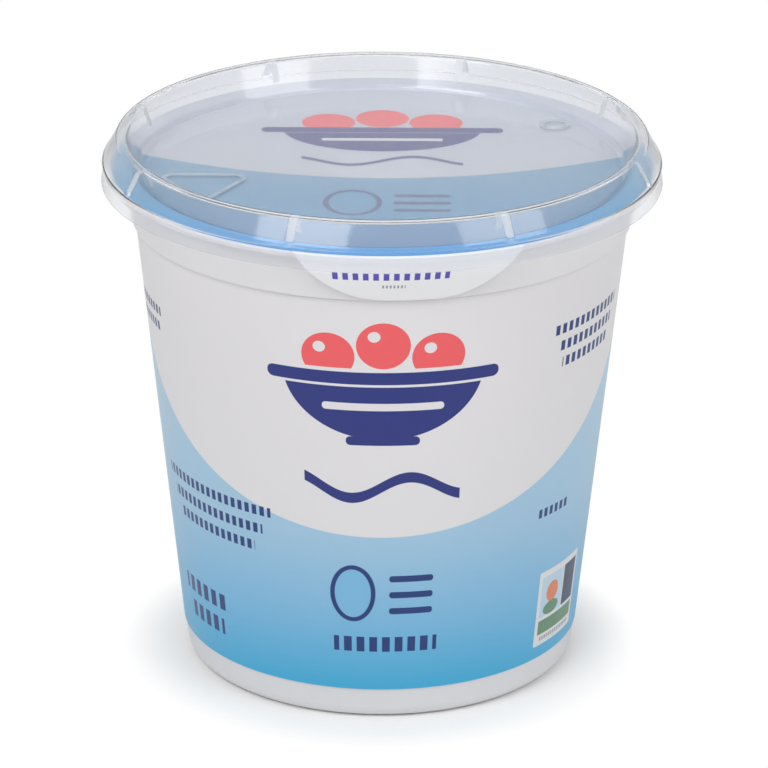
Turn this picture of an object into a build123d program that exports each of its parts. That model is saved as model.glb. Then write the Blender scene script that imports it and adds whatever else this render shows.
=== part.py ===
"""A large yogurt pot: a tapered white tub with a printed sleeve, a peelable
seal with its pull tab folded down, and a clear push-on lid."""

import os
from math import cos, radians, sin, sqrt

from build123d import *

os.makedirs("parts", exist_ok=True)

# Tub, in millimetres. The front of the pot faces -Y, and it stands on Z = 0.
foot_radius = 44.75  # the tapered wall, continued down to the floor
foot_rounding = 3.4  # between the wall and the base
ledge_radius = 55.65  # the tapered wall where it meets the collar
ledge_height = 105.8
collar_step = 1.05  # the collar's lower edge stands out this far over the ledge
collar_flare = 1.2  # wider under the flange by this much
collar_height = 12.1  # from the ledge to the top of the flange
collar_rounding = 0.5
flange_width = 3.6  # beyond the top of the collar
flange_thickness = 1.5
flange_rounding = 0.5
base_ring_width = 7.75  # from the recess under the base to the wall
base_recess_depth = 1.6
base_recess_rounding = 1.0
gate_radius = 1.6  # moulding gate left in the middle of the base
gate_height = 0.6

# Printed sleeve round the tapered wall
sleeve_foot_height = 7.8
sleeve_thickness = 0.3
sleeve_wall_clearance = 0.05
sleeve_ledge_clearance = 0.15

# Seal and pull tab
seal_thickness = 0.25
seal_margin = 0.4  # the flange stands out this far past the seal
seal_sag = 1.7  # the film inside the flange is pressed down this far by the lid's panel
seal_sag_run = 0.65  # the film goes down over this width
seal_sag_clearance = 0.1  # to the filling under it
seal_panel_clearance = 0.35  # sideways, to the lid
tab_azimuth = 6.0  # degrees from the front, towards +X
tab_clearance = 0.3  # to the flange and the collar
tab_foot_clearance = 0.4  # the tab's lower edge stops this far above the ledge
tab_root_half_width = 29.0
tab_end_half_width = 17.0
tab_corner_radius = 13.0
tab_overlap = 4.0  # how far the folded tab runs in over the flange

# Clear lid
lid_wall = 0.6
lid_seal_clearance = 0.3
lid_flange_clearance = 1.0  # sideways, in the lip's groove
lid_grip = 1.7  # the lip reaches this far below the flange
rim_wall_run = 2.7  # the sloping inner wall, from the panel out to the rim
rim_width = 2.3
skirt_run = 2.8  # the sloping skirt, from the rim out to the lip
skirt_drop = 5.3  # from the crest to the lower end of the skirt
lip_step_width = 0.6
lip_step_drop = 0.6
lip_bead = 0.3  # the lip's top stands out this far past its groove
lip_flare = 0.6  # and its foot this far
lip_groove_drop = 2.0  # below the top of the lip
lip_height = 4.6
panel_rounding = 1.2  # roundings of the lid's outer face
crest_rounding = 1.2
skirt_rounding = 0.3
lip_rounding = 0.8

# Upright ribs on the lid's skirt
rib_count = 8
rib_azimuth = 26.5  # first rib, degrees from the front towards +X
rib_width = 1.7
rib_height = 0.35
rib_top_margin = 1.6  # below the crest
rib_foot_margin = 0.5  # above the lower end of the skirt

# Raised marks on the lid's panel
mark_height = 0.3
mark_line = 1.1
triangle_radius = 10.5  # centre to corner
triangle_rounding = 2.4
triangle_margin = 2.2833  # from its corners' circle to the panel's edge
triangle_offset = -13.5  # its centre, towards the front
ring_radius = 3.6
ring_margin = 1.9935
ring_offset = 29.0

# Slopes and heights that follow from the sizes above
tub_height = ledge_height + collar_height
collar_top = tub_height - flange_thickness
collar_foot_radius = ledge_radius + collar_step
collar_top_radius = collar_foot_radius + collar_flare
flange_radius = collar_top_radius + flange_width
base_recess_radius = foot_radius - base_ring_width
wall_slope = (ledge_radius - foot_radius) / ledge_height
collar_slope = (collar_top_radius - collar_foot_radius) / (collar_top - ledge_height)
lip_groove_radius = flange_radius + lid_flange_clearance + lid_wall
lip_top_radius = lip_groove_radius + lip_bead
lip_foot_radius = lip_groove_radius + lip_flare
skirt_radius = lip_top_radius - lip_step_width
rim_outer_radius = skirt_radius - skirt_run
rim_inner_radius = rim_outer_radius - rim_width
panel_radius = rim_inner_radius - rim_wall_run
seal_radius = flange_radius - seal_margin
dish_radius = panel_radius + lid_wall + seal_panel_clearance
mouth_radius = dish_radius + seal_sag_run
seal_top = tub_height + seal_thickness
panel_top = seal_top - seal_sag + lid_seal_clearance + lid_wall
lip_foot = collar_top - lid_grip
lip_top = lip_foot + lip_height
lip_groove = lip_top - lip_groove_drop
skirt_foot = lip_top + lip_step_drop
crest_top = skirt_foot + skirt_drop
triangle_reach = panel_radius - triangle_margin - triangle_radius
triangle_place = (-sqrt(triangle_reach**2 - triangle_offset**2), triangle_offset)
ring_reach = panel_radius - ring_margin - ring_radius
ring_place = (sqrt(ring_reach**2 - ring_offset**2), ring_offset)


def facing_plane(azimuth):
    """Plane through the Z axis that faces an azimuth, counted from the front towards +X."""
    angle = radians(azimuth)
    return Plane(origin=(0, 0, 0), x_dir=(cos(angle), sin(angle), 0), z_dir=(sin(angle), -cos(angle), 0))


def wall_radius(height):
    """Radius of the tub's tapered wall at a height."""
    return foot_radius + wall_slope * height


def skirt_line(height):
    """Radius of the outer face of the lid's sloping skirt at a height."""
    share = (crest_top - height) / skirt_drop
    return rim_outer_radius + (skirt_radius - rim_outer_radius) * share


def round_corner(sketch, corner, radius):
    """Round the corner of a half profile that lies nearest to a point."""
    fillet(sketch.vertices().sort_by_distance(corner)[0], radius)


def round_wall(sketch, outer_corner, outer_radius, inner_radius):
    """Round both corners of a bent wall: the nearest one to a point, and the one behind it."""
    pair = sketch.vertices().sort_by_distance(outer_corner)[:2]
    round_corner(sketch, pair[0].center(), outer_radius)
    round_corner(sketch, pair[1].center(), inner_radius)


# Tub: filled and shut, so it is solid inside its outline, up to the film
with BuildPart() as tub:
    with BuildSketch(Plane.XZ) as tub_half:
        with BuildLine():
            Polyline(
                (0, 0),
                (foot_radius, 0),
                (ledge_radius, ledge_height),
                (collar_foot_radius, ledge_height),
                (collar_top_radius, collar_top),
                (flange_radius, collar_top),
                (flange_radius, tub_height),
                (mouth_radius, tub_height),
                (dish_radius, tub_height - seal_sag - seal_sag_clearance),
                (0, tub_height - seal_sag - seal_sag_clearance),
                close=True,
            )
        make_face()
        round_corner(tub_half, (foot_radius, 0), foot_rounding)
        round_corner(tub_half, (collar_foot_radius, ledge_height), collar_rounding)
        round_corner(tub_half, (flange_radius, collar_top), flange_rounding)
        round_corner(tub_half, (flange_radius, tub_height), flange_rounding)
    revolve(axis=Axis.Z)
    with BuildSketch(Plane.XY):
        Circle(base_recess_radius)
    extrude(amount=base_recess_depth, mode=Mode.SUBTRACT)
    base_edges = tub.edges().filter_by(GeomType.CIRCLE).group_by(Axis.Z)[0]
    fillet(base_edges.sort_by(SortBy.RADIUS)[0], base_recess_rounding)
    with BuildSketch(Plane.XY.offset(base_recess_depth)):
        Circle(gate_radius)
    extrude(amount=-gate_height)
tub.part.label = "tub"
export_step(tub.part, "parts/tub.step")

# Sleeve: a thin printed cone over the wall, between the foot and the ledge
sleeve_top_height = ledge_height - sleeve_ledge_clearance
sleeve_inner_foot = wall_radius(sleeve_foot_height) + sleeve_wall_clearance
sleeve_inner_top = wall_radius(sleeve_top_height) + sleeve_wall_clearance
with BuildPart() as sleeve:
    with BuildSketch(Plane.XZ):
        with BuildLine():
            Polyline(
                (sleeve_inner_foot, sleeve_foot_height),
                (sleeve_inner_foot + sleeve_thickness, sleeve_foot_height),
                (sleeve_inner_top + sleeve_thickness, sleeve_top_height),
                (sleeve_inner_top, sleeve_top_height),
                close=True,
            )
        make_face()
    revolve(axis=Axis.Z)
sleeve.part.label = "sleeve"
export_step(sleeve.part, "parts/sleeve.step")

# Seal: a film on the flange, sunk inside it, with a tab folded down outside the collar
fold_radius = flange_radius + tab_clearance
fold_foot = collar_top - tab_clearance
tab_foot = ledge_height + tab_foot_clearance
tab_foot_radius = collar_foot_radius + collar_slope * tab_foot_clearance + tab_clearance
with BuildPart() as seal:
    with BuildSketch(Plane.XZ):
        with BuildLine():
            Polyline(
                (seal_radius - tab_overlap, tub_height),
                (fold_radius, tub_height),
                (fold_radius, fold_foot),
                (tab_foot_radius, tab_foot),
                (tab_foot_radius + seal_thickness, tab_foot),
                (fold_radius + seal_thickness, fold_foot),
                (fold_radius + seal_thickness, seal_top),
                (seal_radius - tab_overlap, seal_top),
                close=True,
            )
        make_face()
    revolve(axis=Axis.Z)
    with BuildSketch(facing_plane(tab_azimuth)) as tab_outline:
        with BuildLine():
            Polyline(
                (-tab_root_half_width, seal_top),
                (-tab_end_half_width, tab_foot),
                (tab_end_half_width, tab_foot),
                (tab_root_half_width, seal_top),
                close=True,
            )
        make_face()
        fillet(tab_outline.vertices().group_by(Axis.Y)[0], tab_corner_radius)
    extrude(amount=2 * flange_radius, mode=Mode.INTERSECT)
    with BuildSketch(Plane.XZ):
        with BuildLine():
            Polyline(
                (0, tub_height - seal_sag),
                (dish_radius, tub_height - seal_sag),
                (mouth_radius, tub_height),
                (seal_radius, tub_height),
                (seal_radius, seal_top),
                (mouth_radius - seal_thickness / 2, seal_top),
                (dish_radius - seal_thickness / 2, seal_top - seal_sag),
                (0, seal_top - seal_sag),
                close=True,
            )
        make_face()
    revolve(axis=Axis.Z)
seal.part.label = "seal"
export_step(seal.part, "parts/seal.step")

# Lid: one thin clear shell, open below, with a sunken panel inside a raised rim
with BuildPart() as lid:
    with BuildSketch(Plane.XZ) as lid_half:
        with BuildLine():
            Polyline(
                (0, panel_top),
                (panel_radius, panel_top),
                (rim_inner_radius, crest_top),
                (rim_outer_radius, crest_top),
                (skirt_radius, skirt_foot),
                (lip_top_radius, lip_top),
                (lip_groove_radius, lip_groove),
                (lip_foot_radius, lip_foot),
            )
            offset(amount=lid_wall, kind=Kind.INTERSECTION, side=Side.RIGHT)
        make_face()
        round_wall(lid_half, (panel_radius, panel_top), panel_rounding, panel_rounding + lid_wall)
        round_wall(lid_half, (rim_inner_radius, crest_top), crest_rounding, crest_rounding - lid_wall)
        round_wall(lid_half, (rim_outer_radius, crest_top), crest_rounding, crest_rounding - lid_wall)
        round_wall(lid_half, (skirt_radius, skirt_foot), skirt_rounding, skirt_rounding + lid_wall)
        round_wall(lid_half, (lip_top_radius, lip_top), lip_rounding, lip_rounding - lid_wall)
        round_wall(lid_half, (lip_groove_radius, lip_groove), lip_rounding, lip_rounding + lid_wall)
    revolve(axis=Axis.Z)
    rib_top = crest_top - rib_top_margin
    rib_foot = skirt_foot + rib_foot_margin
    for rib in range(rib_count):
        along_radius = facing_plane(rib_azimuth + rib * 360 / rib_count - 90)
        with BuildSketch(along_radius):
            with BuildLine():
                Polyline(
                    (skirt_line(rib_top) - lid_wall / 2, rib_top),
                    (skirt_line(rib_top) + rib_height, rib_top - rib_height),
                    (skirt_line(rib_foot) + rib_height, rib_foot),
                    (skirt_line(rib_foot) - lid_wall / 2, rib_foot),
                    close=True,
                )
            make_face()
        extrude(amount=rib_width / 2, both=True)
    with BuildSketch(Plane.XY.offset(panel_top)):
        with Locations(triangle_place):
            corners = RegularPolygon(radius=triangle_radius, side_count=3, rotation=-90)
        fillet(corners.vertices(), triangle_rounding)
        offset(amount=-mark_line, mode=Mode.SUBTRACT)
        with Locations(ring_place):
            Circle(ring_radius)
            Circle(ring_radius - mark_line, mode=Mode.SUBTRACT)
    extrude(amount=mark_height)
lid.part.label = "lid"
export_step(lid.part, "parts/lid.step")
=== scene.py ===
import math

import bmesh
import bpy
from mathutils import Matrix, Vector


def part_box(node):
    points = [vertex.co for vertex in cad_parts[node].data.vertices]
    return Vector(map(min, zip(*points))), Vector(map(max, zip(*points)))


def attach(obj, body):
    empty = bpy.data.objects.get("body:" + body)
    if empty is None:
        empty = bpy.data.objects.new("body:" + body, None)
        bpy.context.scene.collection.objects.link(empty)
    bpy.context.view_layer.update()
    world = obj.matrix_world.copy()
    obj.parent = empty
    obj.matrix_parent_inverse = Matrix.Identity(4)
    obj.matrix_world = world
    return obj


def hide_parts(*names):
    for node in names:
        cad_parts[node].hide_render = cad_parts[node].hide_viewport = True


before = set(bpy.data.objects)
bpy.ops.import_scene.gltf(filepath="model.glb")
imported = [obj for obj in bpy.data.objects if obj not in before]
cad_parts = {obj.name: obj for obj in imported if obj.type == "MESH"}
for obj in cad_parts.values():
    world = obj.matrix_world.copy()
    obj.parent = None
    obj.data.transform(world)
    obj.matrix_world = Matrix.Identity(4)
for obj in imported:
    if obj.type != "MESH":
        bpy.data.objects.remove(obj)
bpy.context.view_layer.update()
mm = 0.001
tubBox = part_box("tub")
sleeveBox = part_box("sleeve")
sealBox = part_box("seal")
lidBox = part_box("lid")
print("frame loaded")


# Outlines and lathes. Outlines are in millimetres, as radius, height and rounding.

def roundedOutline(corners, segments=6):
    points = []
    for index, (radius, height, rounding) in enumerate(corners):
        here = Vector((radius, height))
        if not rounding or index in (0, len(corners) - 1):
            points.append(here)
            continue
        back = (Vector(corners[index - 1][:2]) - here).normalized()
        ahead = (Vector(corners[index + 1][:2]) - here).normalized()
        halfAngle = back.angle(ahead) / 2
        reach = rounding / math.tan(halfAngle)
        centre = here + (back + ahead).normalized() * rounding / math.sin(halfAngle)
        first = here + back * reach - centre
        last = here + ahead * reach - centre
        for step in range(segments + 1):
            points.append(centre + first.slerp(last, step / segments).normalized() * rounding)
    return points


def sideStep(points, distance):
    # the same outline, moved sideways by a wall thickness
    moved = []
    for index, point in enumerate(points):
        before = points[max(index - 1, 0)]
        after = points[min(index + 1, len(points) - 1)]
        along = (after - before).normalized()
        moved.append(point + Vector((along.y, -along.x)) * distance)
    return moved


def lathe(points, steps=360):
    # points from the axis outwards, or a closed loop of points off the axis
    bm = bmesh.new()
    chain = [bm.verts.new((point.x * mm, 0, point.y * mm)) for point in points]
    for start, end in zip(chain, chain[1:]):
        bm.edges.new((start, end))
    if points[0].x > 0 and points[-1].x > 0:
        bm.edges.new((chain[-1], chain[0]))
    bmesh.ops.spin(bm, geom=bm.verts[:] + bm.edges[:], axis=(0, 0, 1), cent=(0, 0, 0),
                   angle=math.tau, steps=steps, use_merge=True)
    bmesh.ops.remove_doubles(bm, verts=bm.verts, dist=1e-6)
    bmesh.ops.recalc_face_normals(bm, faces=bm.faces)
    return bm


def finishPiece(bm, name, material, sharp=35):
    mesh = bpy.data.meshes.new(name)
    bm.to_mesh(mesh)
    bm.free()
    mesh.shade_smooth()
    mesh.set_sharp_from_angle(angle=math.radians(sharp))
    piece = bpy.data.objects.new(name, mesh)
    bpy.context.scene.collection.objects.link(piece)
    mesh.materials.append(material)
    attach(piece, "root")
    return piece


# Shader maths: a socket that takes Python's operators

class Socket:
    def __init__(self, tree, link):
        self.tree = tree
        self.link = link

    def node(self, kind, settings=None, outlet=0, **inputs):
        made = self.tree.nodes.new(kind)
        for key, value in (settings or {}).items():
            setattr(made, key, value)
        for key, value in inputs.items():
            plug = made.inputs[int(key[1:])] if key[1:].isdigit() else made.inputs[key.replace("_", " ")]
            if isinstance(value, Socket):
                self.tree.links.new(value.link, plug)
            elif hasattr(plug.default_value, "__len__") and len(plug.default_value) == 4 and len(value) == 3:
                plug.default_value = (*value, 1)
            else:
                plug.default_value = value
        return Socket(self.tree, made.outputs[outlet])

    def maths(self, operation, *values, clamp=False):
        named = {"i" + str(place): value for place, value in enumerate(values)}
        return self.node("ShaderNodeMath", {"operation": operation, "use_clamp": clamp}, **named)

    def __add__(self, other):
        return self.maths("ADD", self, other)

    def __sub__(self, other):
        return self.maths("SUBTRACT", self, other)

    def __rsub__(self, other):
        return self.maths("SUBTRACT", other, self)

    def __mul__(self, other):
        return self.maths("MULTIPLY", self, other)

    def __truediv__(self, other):
        return self.maths("DIVIDE", self, other)

    def __abs__(self):
        return self.maths("ABSOLUTE", self)

    def most(self, other):
        return self.maths("MAXIMUM", self, other)

    def root(self):
        return self.maths("SQRT", self)

    def sine(self):
        return self.maths("SINE", self)

    def fraction(self):
        return self.maths("FRACT", self)

    def ramp(self, *stops):
        made = self.tree.nodes.new("ShaderNodeValToRGB")
        elements = made.color_ramp.elements
        while len(elements) < len(stops):
            elements.new(1.0)
        for element, (place, colour) in zip(elements, stops):
            element.position = place
            element.color = (*colour, 1)
        self.tree.links.new(self.link, made.inputs[0])
        return Socket(self.tree, made.outputs[0])

    def noise(self, scale, detail=2.0):
        return self.node("ShaderNodeTexNoise", Vector=self, Scale=scale, Detail=detail)

    def bump(self, strength, distance):
        return self.node("ShaderNodeBump", Height=self, Strength=strength, Distance=distance)

    def feed(self, plug):
        self.tree.links.new(self.link, plug)

    def mix(self, first, second):
        # colours, by this socket as the share of the second
        return self.node("ShaderNodeMix", {"data_type": "RGBA"}, 2, i0=self, i6=first, i7=second)

    def inside(self, softness=0.12):
        # 1 where a signed distance in mm is below 0, with a crisp edge
        return self.maths("MULTIPLY_ADD", self, -1 / softness, 0.5, clamp=True)


def newMaterial(name, **constants):
    material = bpy.data.materials.new(name)
    material.use_nodes = True
    tree = material.node_tree
    shader = tree.nodes["Principled BSDF"]
    for key, value in constants.items():
        shader.inputs[key.replace("_", " ")].default_value = value
    return material, tree, shader


def placeSockets(tree):
    # object coordinates in mm: x, y, z, and the azimuth in degrees from the front towards +X
    coords = tree.nodes.new("ShaderNodeTexCoord")
    base = Socket(tree, coords.outputs["Object"])
    split = tree.nodes.new("ShaderNodeSeparateXYZ")
    base.feed(split.inputs[0])
    x, y, z = (Socket(tree, split.outputs[axis]) * 1000 for axis in range(3))
    azimuth = base.maths("ARCTAN2", x, y * -1) * math.degrees(1)
    return base, x, y, z, azimuth


def disc(u, v, centre, radius):
    du, dv = u - centre[0], v - centre[1]
    return (du * du + dv * dv).root() - radius


def ellipse(u, v, centre, radii):
    du, dv = (u - centre[0]) / radii[0], (v - centre[1]) / radii[1]
    return ((du * du + dv * dv).root() - 1) * min(radii)


def bar(u, v, centre, halfSize, rounding=0.2):
    du = (abs(u - centre[0]) - (halfSize[0] - rounding)).most(0)
    dv = (abs(v - centre[1]) - (halfSize[1] - rounding)).most(0)
    return (du * du + dv * dv).root() - rounding


def dashes(u, v, centre, halfSize, pitch, fill):
    # a row of small upright dashes inside a bar
    wave = (u / pitch + 40).fraction()
    ticks = abs(wave - 0.5) * pitch - pitch * fill / 2
    return bar(u, v, centre, halfSize, 0.1).most(ticks)


# Colours, linear

def srgb(red, green, blue):
    def linear(value):
        value = value / 255
        return value / 12.92 if value <= 0.04045 else ((value + 0.055) / 1.055) ** 2.4
    return tuple(linear(value) for value in (red, green, blue))


inks = {
    "white": srgb(224, 222, 224),
    "navy": srgb(30, 44, 122),
    "ink": srgb(24, 54, 118),
    "coral": srgb(236, 92, 96),
    "leaf": srgb(96, 138, 104),
    "skyDeep": srgb(60, 172, 216),
    "skyMid": srgb(122, 184, 222),
    "skyPale": srgb(158, 196, 222),
    "skyTop": srgb(186, 212, 230),
    "violet": srgb(84, 70, 170),
    "grey": srgb(150, 150, 154),
    # the film's colours on top, under the lid: print colours painted darker as the shade of the lid over
    # them, the white most and the blues a little; the tab's white is the same film where no lid is over it
    "shadedFilmWhite": srgb(193, 196, 204),
    "filmFront": srgb(28, 140, 204),
    "filmMid": srgb(78, 148, 188),
    "filmBack": srgb(106, 154, 184),
    "tabWhite": srgb(236, 236, 238),
    "slate": srgb(36, 52, 84),
    "apricot": srgb(224, 128, 84),
}


# Tub

tub = {
    "foot": 44.75, "footRounding": 3.4, "recess": 37.0, "recessRounding": 1.0, "recessDepth": 1.6,
    "ledge": 55.65, "ledgeHeight": 105.8, "collarFoot": 56.7, "collarTop": 57.9,
    "flange": 61.5, "flangeThickness": 1.5, "mouth": 56.6, "dish": 55.95, "sag": 1.8, "gate": 1.6,
}


def tubMaterial():
    material, tree, shader = newMaterial("whitePlastic", Roughness=0.34, IOR=1.46)
    base = placeSockets(tree)[0]
    cloud = base.noise(60.0, 3.0)
    cloud.mix(srgb(221, 220, 222), srgb(226, 225, 226)).feed(shader.inputs["Base Color"])
    grain = base.noise(1400.0)
    (grain * 0.06 + 0.31).feed(shader.inputs["Roughness"])
    grain.bump(0.05, 0.0002).feed(shader.inputs["Normal"])
    return material


def makeTub():
    top = tubBox[1][2] / mm
    underside = top - tub["flangeThickness"]
    corners = [
        (0, tub["recessDepth"] - 0.6, 0), (tub["gate"], tub["recessDepth"] - 0.6, 0.3),
        (tub["gate"] + 0.1, tub["recessDepth"], 0.05), (tub["recess"], tub["recessDepth"], 0.5),
        (tub["recess"], 0, tub["recessRounding"]), (tub["foot"], 0, tub["footRounding"]),
        (tub["ledge"], tub["ledgeHeight"], 0.1), (tub["collarFoot"], tub["ledgeHeight"], 0.4),
        (tub["collarTop"], underside, 0.8), (tub["flange"], underside, 0.5), (tub["flange"], top, 0.5),
        (tub["mouth"], top, 0.3), (tub["dish"], top - tub["sag"], 0.3), (0, top - tub["sag"], 0),
    ]
    piece = finishPiece(lathe(roundedOutline(corners)), "tubBody", tubMaterial())
    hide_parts("tub")


# Sleeve, with its print in millimetres: u along the front, v up

sleeve = {
    "footRadius": 45.6, "topRadius": 55.68, "thickness": 0.3, "printRadius": 51.0,
    "fieldRadius": 97.0, "fieldFoot": 47.0,
}


def emblem(u, v):
    # a round of three fruits over a bowl, with a wavy rule below
    bowl = ellipse(u, v, (0.5, 88.0), (21.5, 16.5)).most(v - 84.5)
    rim = bar(u, v, (0.5, 86.6), (25.0, 1.5), 1.4)
    foot = bar(u, v, (0.5, 71.2), (8.0, 1.1), 1.0)
    wave = abs(v - 59.5 - (u * 0.24).sine() * 2.6) - 1.3
    wave = wave.most(abs(u - 0.5) - 17.5)
    drop = ellipse(u, v, (-6.4, 32.6), (5.4, 7.2))
    fruits = [
        disc(u, v, (0.5 + side * 11.5, 91.8 + lift), 5.6) for side, lift in ((-1, 0), (1, 0), (0, 2.8))
    ]
    shapes = [(fruit, inks["coral"]) for fruit in fruits]
    for glint in ((-12.8, 93.9), (-1.4, 96.8), (10.2, 93.9)):
        shapes.append((disc(u, v, glint, 1.3), inks["white"]))
    shapes += [(rim - 0.9, inks["white"]), (rim, inks["navy"]), (bowl, inks["navy"]), (foot, inks["navy"])]
    shapes += [(bar(u, v, (0.5, 79.6), (13.0, 0.9), 0.8), inks["white"]), (wave, inks["navy"])]
    shapes += [(drop, inks["ink"]), (ellipse(u, v, (-6.4, 32.6), (4.3, 6.1)), inks["skyMid"])]
    shapes += [(bar(u, v, (7.4, 36.4 - 4.1 * row), (5.2, 0.8), 0.7), inks["ink"]) for row in range(3)]
    shapes.append((dashes(u, v, (1.4, 19.6), (12.6, 1.9), 3.1, 0.62), inks["ink"]))
    return shapes


def smallPrint(u, v):
    # blocks of short rules where such a pot has its small print
    rows = []
    for centre, width, count, drop, height in (
        ((53.0, 92.0), 13.0, 3, 4.2, 1.2), ((46.5, 46.2), 5.6, 1, 4.2, 1.1),
        ((-69.5, 90.0), 11.0, 2, 4.0, 1.1), ((-45.0, 50.2), 19.0, 3, 4.6, 1.2),
        ((-52.0, 22.6), 9.5, 2, 6.4, 2.0), ((126.0, 80.0), 24.0, 5, 4.4, 1.1),
    ):
        for row in range(count):
            middle = (centre[0], centre[1] - drop * row)
            half = (width * (1 - 0.13 * (row % 3)), height)
            rows.append((dashes(u, v, middle, half, height * 1.75, 0.6), inks["ink"]))
    return rows


def boxedMark(u, v):
    # a small white box with plain coloured blocks in it
    panel = bar(u, v, (53.5, 20.6), (9.6, 9.6), 0.6)
    blocks = [(panel, inks["white"])]
    blocks.append((bar(u, v, (49.9, 23.4), (4.8, 5.2), 0.3), inks["skyTop"]))
    blocks.append((bar(u, v, (58.7, 23.4), (3.4, 5.2), 0.3), inks["slate"]))
    blocks.append((disc(u, v, (49.9, 24.0), 2.6), inks["apricot"]))
    blocks.append((ellipse(u, v, (49.9, 19.9), (3.4, 1.7)), inks["leaf"]))
    blocks.append((bar(u, v, (53.5, 15.6), (8.4, 1.8), 0.3), inks["leaf"]))
    blocks.append((dashes(u, v, (53.5, 12.6), (7.4, 0.5), 1.0, 0.6), inks["grey"]))
    return blocks


def sleeveMaterial():
    material, tree, shader = newMaterial("printedFilm", Roughness=0.3, IOR=1.48)
    base, x, y, z, azimuth = placeSockets(tree)
    u = azimuth * math.radians(sleeve["printRadius"])
    sky = (z / 106).ramp(
        (0.08, inks["skyDeep"]), (0.24, inks["skyMid"]), (0.43, inks["skyPale"]), (1.0, inks["skyTop"]),
    )
    field = disc(u, z, (0, sleeve["fieldFoot"] + sleeve["fieldRadius"]), sleeve["fieldRadius"]).inside(0.3)
    colour = field.mix(sky, inks["white"])
    for shape, ink in emblem(u, z) + smallPrint(u, z) + boxedMark(u, z):
        colour = shape.inside().mix(colour, ink)
    colour.feed(shader.inputs["Base Color"])
    grain = base.noise(900.0)
    (grain * 0.08 + 0.27).feed(shader.inputs["Roughness"])
    grain.bump(0.04, 0.0002).feed(shader.inputs["Normal"])
    return material


def makeSleeve():
    foot, top = sleeveBox[0][2] / mm, sleeveBox[1][2] / mm
    corners = [
        (sleeve["footRadius"], foot, 0), (sleeve["footRadius"] + sleeve["thickness"], foot, 0.12),
        (sleeve["topRadius"] + sleeve["thickness"], top, 0.12), (sleeve["topRadius"], top, 0),
    ]
    piece = finishPiece(lathe(roundedOutline(corners, 3)), "printedSleeve", sleeveMaterial())
    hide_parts("sleeve")


# Seal with its pull tab

seal = {
    "radius": 61.1, "mouth": 56.6, "dish": 55.95, "thickness": 0.25, "sag": 1.7,
    "tabAzimuth": 6.0, "rootHalfWidth": 29.0, "endHalfWidth": 17.0, "cornerRun": 0.55,
    "cornerDepth": 0.62, "overlap": 4.0, "printRadius": 58.0, "edgeFront": 7.5, "edgeBend": 0.0052,
    "foldRadius": 61.8, "foldFoot": 116.1, "tabFoot": 106.2, "tabFootRadius": 57.05,
}


def sealMaterial():
    material, tree, shader = newMaterial("lidFilm", Roughness=0.32, IOR=1.48)
    base, x, y, z, azimuth = placeSockets(tree)
    edge = y + seal["edgeFront"] - x * x * seal["edgeBend"]
    blue = edge.inside(0.3)
    sky = ((y + 61) / 56).ramp(
        (0.0, inks["filmFront"]), (0.55, inks["filmMid"]), (1.0, inks["filmBack"]),
    )
    onTop = (z * -1 + 115.5).most(disc(x, y, (0, 0), 61.4)).inside(0.3)
    # on top, under the lid, the film takes the shaded white and blues, a painted shade; off the top the tab
    # takes the bright tab white
    colour = onTop.mix(inks["tabWhite"], blue.mix(inks["shadedFilmWhite"], sky))
    tabAlong = azimuth * math.radians(seal["printRadius"])
    marks = [
        (disc(x, y, (-12.5, 31.5), 6.2), inks["coral"]), (disc(x, y, (12.5, 31.5), 6.2), inks["coral"]),
        (disc(x, y, (0, 34.5), 6.2), inks["coral"]), (bar(x, y, (0, 26.2), (28.0, 1.8), 1.6), inks["navy"]),
        (ellipse(x, y, (0, 27.0), (23.0, 16.0)).most(y - 24.2), inks["navy"]),
        (bar(x, y, (0, 19.4), (14.0, 0.9), 0.8), inks["white"]),
        (abs(y - 4.4 - (x * 0.22).sine() * 2.8).most(abs(x) - 17.5) - 0.9, inks["navy"]),
        (ellipse(x, y, (-6.5, -24.0), (6.6, 8.6)), inks["ink"]),
        (ellipse(x, y, (-6.5, -24.0), (5.3, 7.3)), inks["filmMid"]),
    ]
    marks += [(bar(x, y, (9.0, -19.4 - 4.8 * row), (6.4, 0.9), 0.8), inks["ink"]) for row in range(3)]
    for shape, ink in marks:
        colour = (shape.inside() * onTop).mix(colour, ink)
    tabMarks = dashes(tabAlong, z, (1.8, 112.7), (12.6, 0.95), 2.15, 0.55).inside()
    smallMarks = dashes(tabAlong, z, (2.6, 110.0), (2.6, 0.4), 0.8, 0.5).inside()
    offTop = 1 - onTop
    colour = (tabMarks * offTop).mix(colour, inks["violet"])
    colour = (smallMarks * offTop).mix(colour, inks["grey"])
    colour.feed(shader.inputs["Base Color"])
    grain = base.noise(700.0)
    (grain * 0.1 + 0.27).feed(shader.inputs["Roughness"])
    grain.bump(0.05, 0.0002).feed(shader.inputs["Normal"])
    return material


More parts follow.
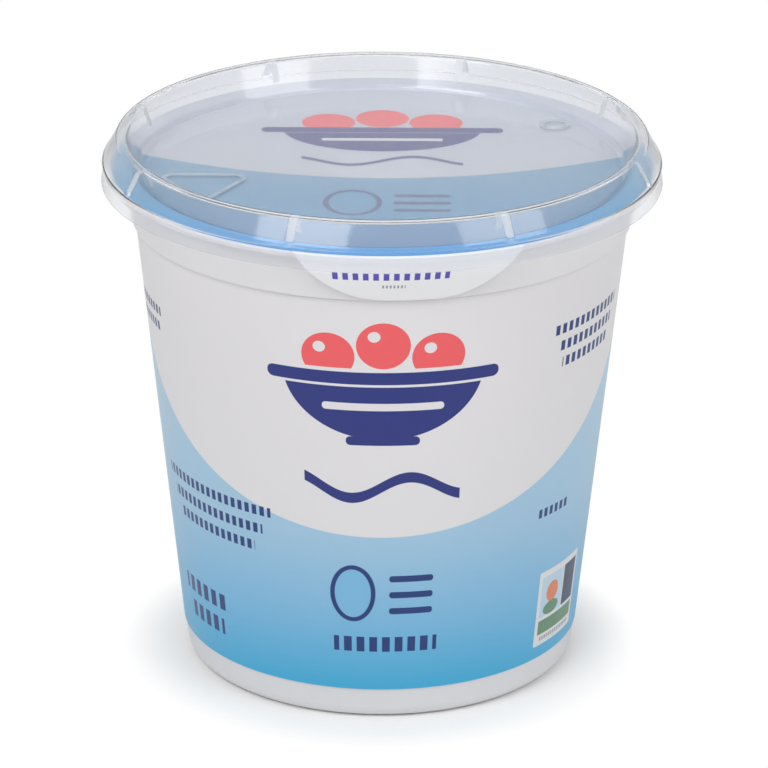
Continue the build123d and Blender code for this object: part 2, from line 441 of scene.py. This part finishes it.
def makeSeal():
    top = tubBox[1][2] / mm
    film, sag = seal["thickness"], seal["sag"]
    corners = [
        (0, top - sag, 0), (seal["dish"], top - sag, 0.3), (seal["mouth"], top, 0.3),
        (seal["radius"], top, 0), (seal["radius"], top + film, 0.1),
        (seal["mouth"] - film / 2, top + film, 0.5), (seal["dish"] - film / 2, top + film - sag, 0.5),
        (0, top + film - sag, 0),
    ]
    material = sealMaterial()
    piece = finishPiece(lathe(roundedOutline(corners, 4)), "sealFilm", material)
    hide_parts("seal")
    # the tab: a grid bent over the flange's edge and down to the collar
    bm = bmesh.new()
    bmesh.ops.create_grid(bm, x_segments=72, y_segments=28, size=1)
    route = roundedOutline([
        (seal["radius"] - seal["overlap"], top + film / 2, 0),
        (seal["foldRadius"] + film / 2, top + film / 2, 0.3),
        (seal["foldRadius"] + film / 2, seal["foldFoot"], 1.5),
        (seal["tabFootRadius"] + film / 2, seal["tabFoot"], 0),
    ], 5)
    lengths = [0]
    for before, after in zip(route, route[1:]):
        lengths.append(lengths[-1] + (after - before).length)
    for vert in bm.verts:
        along = (1 - vert.co.y) / 2
        reach = along * lengths[-1]
        leg = max(index for index, length in enumerate(lengths[:-1]) if length <= reach + 1e-9)
        share = (reach - lengths[leg]) / (lengths[leg + 1] - lengths[leg])
        spot = route[leg].lerp(route[leg + 1], min(share, 1))
        half = seal["rootHalfWidth"] + (seal["endHalfWidth"] - seal["rootHalfWidth"]) * along
        corner = max(along - (1 - seal["cornerRun"]), 0) / seal["cornerRun"]
        half -= seal["endHalfWidth"] * seal["cornerDepth"] * (1 - math.sqrt(1 - corner * corner))
        azimuth = math.radians(seal["tabAzimuth"]) + vert.co.x * half / spot.x
        vert.co = (spot.x * mm * math.sin(azimuth), -spot.x * mm * math.cos(azimuth), spot.y * mm)
    bmesh.ops.recalc_face_normals(bm, faces=bm.faces)
    bmesh.ops.solidify(bm, geom=bm.faces[:], thickness=film * mm)
    bmesh.ops.recalc_face_normals(bm, faces=bm.faces)
    tab = finishPiece(bm, "pullTab", material)


# Lid

lid = {
    "wall": 0.6, "panel": 55.0, "rimInner": 57.7, "rimOuter": 60.0, "skirt": 62.8, "skirtDrop": 5.3,
    "lipTop": 63.4, "lipStep": 0.6, "groove": 63.1, "grooveDrop": 2.0, "lipFoot": 63.62, "lipHeight": 4.55,
    "rimHeight": 7.85, "ribs": 8, "ribAzimuth": 26.5, "ribWidth": 1.7, "ribHeight": 0.35,
    "ribRadius": 61.5, "ribMargin": 0.6,
}


ribPitch = 360 / lid["ribs"]


def lidMaterial():
    material, tree, shader = newMaterial("clearPlastic", Roughness=0.03, IOR=1.46)
    shader.inputs["Base Color"].default_value = (0.895, 0.905, 0.93, 1)
    shader.inputs["Transmission Weight"].default_value = 1.0
    base, x, y, z, azimuth = placeSockets(tree)
    cloud = base.noise(30.0, 3.0)
    crest = lidBox[1][2] / mm
    turn = (azimuth - lid["ribAzimuth"] + 360 + ribPitch / 2) / ribPitch
    across = abs(turn.fraction() - 0.5) * math.radians(ribPitch) * lid["ribRadius"]
    halfDrop = lid["skirtDrop"] / 2
    upright = abs(z - (crest - halfDrop)) - (halfDrop - lid["ribMargin"])
    rib = (across - lid["ribWidth"] / 2).most(upright).inside(0.3)
    (cloud * 0.05 + 0.07 + rib * 0.4).feed(shader.inputs["Roughness"])
    ripple = base.noise(70.0, 1.0)
    ripple.bump(0.08, 0.0005).feed(shader.inputs["Normal"])
    path = tree.nodes.new("ShaderNodeLightPath")
    clear = tree.nodes.new("ShaderNodeBsdfTransparent")
    clear.inputs[0].default_value = (0.87, 0.88, 0.9, 1)
    milk = tree.nodes.new("ShaderNodeBsdfDiffuse")
    milk.inputs[0].default_value = (0.86, 0.88, 0.91, 1)
    haze = tree.nodes.new("ShaderNodeMixShader")
    (rib * 0.34 + 0.03).feed(haze.inputs[0])
    tree.links.new(shader.outputs[0], haze.inputs[1])
    tree.links.new(milk.outputs[0], haze.inputs[2])
    blend = tree.nodes.new("ShaderNodeMixShader")
    tree.links.new(path.outputs["Is Shadow Ray"], blend.inputs[0])
    tree.links.new(haze.outputs[0], blend.inputs[1])
    tree.links.new(clear.outputs[0], blend.inputs[2])
    tree.links.new(blend.outputs[0], tree.nodes["Material Output"].inputs[0])
    return material


def makeLid():
    crest = lidBox[1][2] / mm
    panelTop = crest - lid["rimHeight"]
    skirtFoot = crest - lid["skirtDrop"]
    lipTop = skirtFoot - lid["lipStep"]
    lipFoot = lipTop - lid["lipHeight"]
    outer = roundedOutline([
        (0, panelTop, 0), (lid["panel"], panelTop, 1.2), (lid["rimInner"], crest, 1.2),
        (lid["rimOuter"], crest, 1.2), (lid["skirt"], skirtFoot, 0.35), (lid["lipTop"], lipTop, 0.5),
        (lid["groove"], lipTop - lid["grooveDrop"], 0.8), (lid["lipFoot"], lipFoot, 0),
    ])
    inner = sideStep(outer, lid["wall"])
    inner[0].x = 0
    bm = lathe(outer + inner[::-1], 720)
    ribFoot, ribTop = skirtFoot + 0.5, crest - 1.6
    for vert in bm.verts:
        radius, height = math.hypot(vert.co.x, vert.co.y) / mm, vert.co.z / mm
        azimuth = math.degrees(math.atan2(vert.co.x, -vert.co.y))
        share = (crest - height) / lid["skirtDrop"]
        onSkirt = radius > lid["rimOuter"] + (lid["skirt"] - lid["rimOuter"]) * share - 1.2
        if not onSkirt or not ribFoot - lid["ribMargin"] < height < ribTop + lid["ribMargin"]:
            continue
        nearest = (azimuth - lid["ribAzimuth"] + ribPitch / 2) % ribPitch - ribPitch / 2
        across = abs(math.radians(nearest)) * radius / (lid["ribWidth"] / 2)
        push = max(0, 1 - across ** 4) * lid["ribHeight"]
        vert.co.x *= 1 + push / radius
        vert.co.y *= 1 + push / radius
    piece = finishPiece(bm, "clearLid", lidMaterial(), 60)
    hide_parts("lid")


# Raised outlines on the lid's panel: a rounded triangle and a small ring

marks = {
    "panelTriangle": {"place": (-40.0, -13.5), "corners": 3, "spread": 7.5, "rounding": 3.0},
    "panelRing": {"place": (40.0, 29.0), "corners": 1, "spread": 0.0, "rounding": 3.6},
}
markLine = 1.1
markHeight = 0.25
markFoot = 0.01


def markMaterial():
    material, tree, shader = newMaterial("frostedMark", Roughness=0.3, IOR=1.46)
    base = placeSockets(tree)[0]
    cloud = base.noise(400.0)
    cloud.mix(srgb(206, 218, 230), srgb(224, 232, 238)).feed(shader.inputs["Base Color"])
    (cloud * 0.2 + 0.25).feed(shader.inputs["Alpha"])
    return material


def makeMarks():
    panelTop = lidBox[1][2] / mm - lid["rimHeight"]
    material = markMaterial()
    for name, mark in marks.items():
        bm = bmesh.new()
        rows = []
        steps = 48 // mark["corners"]
        arc = math.tau / mark["corners"]
        lastStep = steps - 1 if mark["spread"] else steps
        for corner in range(mark["corners"]):
            facing = math.radians(-90) + arc * corner
            centre = Vector(mark["place"]) + Vector((math.cos(facing), math.sin(facing))) * mark["spread"]
            for step in range(steps):
                angle = facing + (step / lastStep - 0.5) * arc
                way = Vector((math.cos(angle), math.sin(angle)))
                wide = centre + way * mark["rounding"]
                narrow = centre + way * (mark["rounding"] - markLine)
                rows.append([
                    bm.verts.new((spot.x * mm, spot.y * mm, (panelTop + lift) * mm))
                    for spot, lift in (
                        (wide, markFoot), (wide, markHeight), (narrow, markHeight), (narrow, markFoot),
                    )
                ])
        for row, following in zip(rows, rows[1:] + rows[:1]):
            for side in range(4):
                after = (side + 1) % 4
                bm.faces.new((row[side], row[after], following[after], following[side]))
        bmesh.ops.recalc_face_normals(bm, faces=bm.faces)
        finishPiece(bm, name, material)


makeTub()
makeSleeve()
print("tub and sleeve made")
makeSeal()
makeLid()
makeMarks()
print("seal and lid made")


# Floor, light and camera

def makeFloor():
    bm = bmesh.new()
    bmesh.ops.create_grid(bm, x_segments=1, y_segments=1, size=6)
    mesh = bpy.data.meshes.new("floor")
    bm.to_mesh(mesh)
    bm.free()
    floor = bpy.data.objects.new("floor", mesh)
    bpy.context.scene.collection.objects.link(floor)
    material, tree, shader = newMaterial("paleFloor", Roughness=0.9)
    shader.inputs["Base Color"].default_value = (1, 1, 1, 1)
    glow = tree.nodes.new("ShaderNodeEmission")
    glow.inputs[0].default_value = (1, 1, 1, 1)
    path = tree.nodes.new("ShaderNodeLightPath")
    seen = Socket(tree, path.outputs["Is Camera Ray"]).most(Socket(tree, path.outputs["Is Transmission Ray"]))
    blend = tree.nodes.new("ShaderNodeMixShader")
    base, x, y, z, azimuth = placeSockets(tree)
    # the glow fades in over the 15 mm around the foot, so the floor there darkens around the pot as painted
    # shade; the diffuse shading with its real contact shadow shows through it
    away = (x * x + y * y).root() - tub["foot"]
    share = away.maths("MULTIPLY", away, 1 / 15, clamp=True)
    (seen * share).feed(blend.inputs[0])
    tree.links.new(shader.outputs[0], blend.inputs[1])
    tree.links.new(glow.outputs[0], blend.inputs[2])
    tree.links.new(blend.outputs[0], tree.nodes["Material Output"].inputs[0])
    mesh.materials.append(material)


lamps = {
    "keyLamp": {"place": (-0.5, -0.7, 0.9), "size": (0.7, 0.7), "power": 5.3},
    "fillLamp": {"place": (0.7, -0.5, 0.7), "size": (0.6, 0.6), "power": 2.8},
    "topLamp": {"place": (0.0, 0.25, 1.1), "size": (0.9, 0.6), "power": 1.6},
}
lampAim = (0, 0, 0.06)
view = {"place": (0.0007, -1.0404, 0.4784), "lens": 227.5, "down": 21.72, "roll": 0.3}


def areaLight(name, place, aim, size, power):
    light = bpy.data.lights.new(name, "AREA")
    light.shape = "RECTANGLE"
    light.size, light.size_y = size
    light.energy = power
    lamp = bpy.data.objects.new(name, light)
    bpy.context.scene.collection.objects.link(lamp)
    lamp.location = place
    lamp.rotation_euler = (Vector(aim) - Vector(place)).to_track_quat("-Z", "Y").to_euler()


def makeLight():
    world = bpy.data.worlds.new("studio")
    world.use_nodes = True
    tree = world.node_tree
    background = tree.nodes["Background"]
    background.inputs[0].default_value = (1, 1, 1, 1)
    path = tree.nodes.new("ShaderNodeLightPath")
    seen = Socket(tree, path.outputs["Is Camera Ray"]).most(Socket(tree, path.outputs["Is Transmission Ray"]))
    strength = seen * 0.58 + 0.42
    strength.feed(background.inputs[1])
    bpy.context.scene.world = world
    for name, lamp in lamps.items():
        areaLight(name, lamp["place"], lampAim, lamp["size"], lamp["power"])


def makeCamera():
    camera = bpy.data.objects.new("camera", bpy.data.cameras.new("camera"))
    bpy.context.scene.collection.objects.link(camera)
    camera.data.sensor_width = 36
    camera.data.lens = view["lens"]
    camera.location = view["place"]
    down = Matrix.Rotation(math.radians(90 - view["down"]), 4, "X")
    roll = Matrix.Rotation(math.radians(view["roll"]), 4, "Z")
    camera.rotation_euler = (down @ roll).to_euler()
    bpy.context.scene.camera = camera


makeFloor()
makeLight()
makeCamera()
bpy.context.scene.view_settings.view_transform = "Standard"
print("stage ready")
